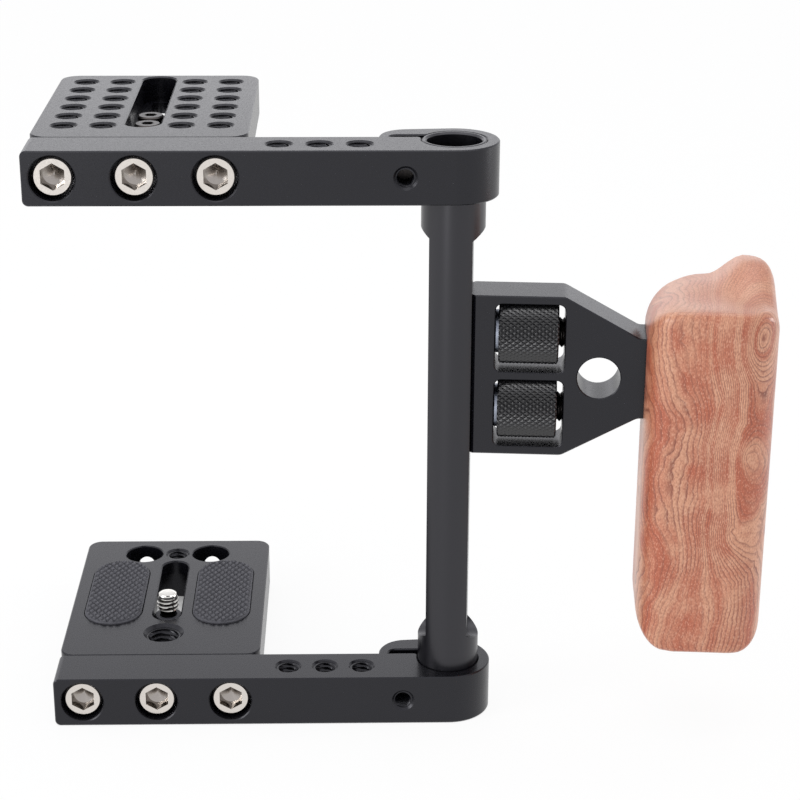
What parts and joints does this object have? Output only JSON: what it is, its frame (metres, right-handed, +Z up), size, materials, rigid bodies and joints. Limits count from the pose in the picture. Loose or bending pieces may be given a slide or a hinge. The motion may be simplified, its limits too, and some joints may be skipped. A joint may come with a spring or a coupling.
{
  "type": "camera cage",
  "caption": "Camera cage: two bar arms clamped to a flatted rod, a slotted plate on each arm, and a wooden side grip on a bracket held by thumbscrews.",
  "frame": {"origin": "axis of the tripod socket, in the underside of the bottom plate", "axes": "+X along the arms towards the grip, +Y from the arms towards the back edge of the plates, +Z up along the rod"},
  "size_m": [0.1895, 0.0988, 0.1596],
  "materials": {
    "black_anodised": "fine bead-blasted black anodising",
    "rod_black": "turned black anodising",
    "knurled_black": "diamond knurled black anodising",
    "stainless": "plain stainless steel",
    "black_steel": "black oxide",
    "chrome": "bright plating",
    "rubber": "matt, diamond textured",
    "wood": "satin lacquer over figured red-brown hardwood"
  },
  "bodies": {
    "base": {"bottom_arm": "black_anodised", "bottom_plate": "black_anodised", "bottom_plate_screw_1": "stainless", "bottom_plate_screw_2": "stainless", "bottom_plate_screw_3": "stainless", "left_pad": "rubber", "right_pad": "rubber", "bottom_clamp_screw": "black_steel"},
    "post": {"upright_rod": "rod_black", "grip_bracket": "black_anodised", "wooden_grip": "wood", "upper_grip_screw": "stainless", "lower_grip_screw": "stainless", "upper_grip_washer": "stainless", "lower_grip_washer": "stainless"},
    "top": {"top_arm": "black_anodised", "top_plate": "black_anodised", "top_plate_screw_1": "stainless", "top_plate_screw_2": "stainless", "top_plate_screw_3": "stainless", "top_clamp_screw": "black_steel"},
    "shoe": {"shoe_foot": "black_anodised", "shoe_screw_front": "black_steel", "shoe_screw_rear": "black_steel"},
    "camera_carriage": {"camera_screw_ring": "rubber"},
    "camera_fastener": {"camera_screw": "chrome"},
    "upper_screw": {"upper_stud": "black_steel"},
    "upper_knob": {"upper_thumbwheel": "knurled_black"},
    "lower_screw": {"lower_stud": "black_steel"},
    "lower_knob": {"lower_thumbwheel": "knurled_black"}
  },
  "joints": [
    {"name": "post_swing", "type": "hinge", "parent": "base", "child": "post", "pos_m": [0.0791, -0.0156, 0.0054], "axis": [0, 0, 1], "range_deg": [-180, 180]},
    {"name": "top_arm_height", "type": "slide", "parent": "post", "child": "top", "axis": [0, 0, 1], "range_m": [-0.024, 0]},
    {"name": "shoe_slide", "type": "slide", "parent": "top", "child": "shoe", "axis": [0, 1, 0], "range_m": [-0.0083, 0.026]},
    {"name": "camera_screw_slide", "type": "slide", "parent": "base", "child": "camera_carriage", "axis": [0, 1, 0], "range_m": [-0.0025, 0.0255]},
    {"name": "camera_screw_turn", "type": "hinge", "parent": "camera_carriage", "child": "camera_fastener", "pos_m": [0, 0.0155, 0.01], "axis": [0, 0, 1], "continuous": true},
    {"name": "upper_thumbscrew_travel", "type": "slide", "parent": "post", "child": "upper_screw", "axis": [0.9968, -0.0802, 0], "range_m": [0, 0.0016]},
    {"name": "upper_thumbscrew_turn", "type": "hinge", "parent": "upper_screw", "child": "upper_knob", "pos_m": [0.09884, -0.01719, 0.1077], "axis": [0.9968, -0.0802, 0], "range_deg": [0, 432]},
    {"name": "lower_thumbscrew_travel", "type": "slide", "parent": "post", "child": "lower_screw", "axis": [0.9968, -0.0802, 0], "range_m": [0, 0.0016]},
    {"name": "lower_thumbscrew_turn", "type": "hinge", "parent": "lower_screw", "child": "lower_knob", "pos_m": [0.09884, -0.01719, 0.0872], "axis": [0.9968, -0.0802, 0], "range_deg": [0, 432]}
  ],
  "couplings": [
    {"joint": "upper_thumbscrew_travel", "follows": "upper_thumbscrew_turn", "m_per_rad": 0.00019894},
    {"joint": "lower_thumbscrew_travel", "follows": "lower_thumbscrew_turn", "m_per_rad": 0.00019894}
  ]
}
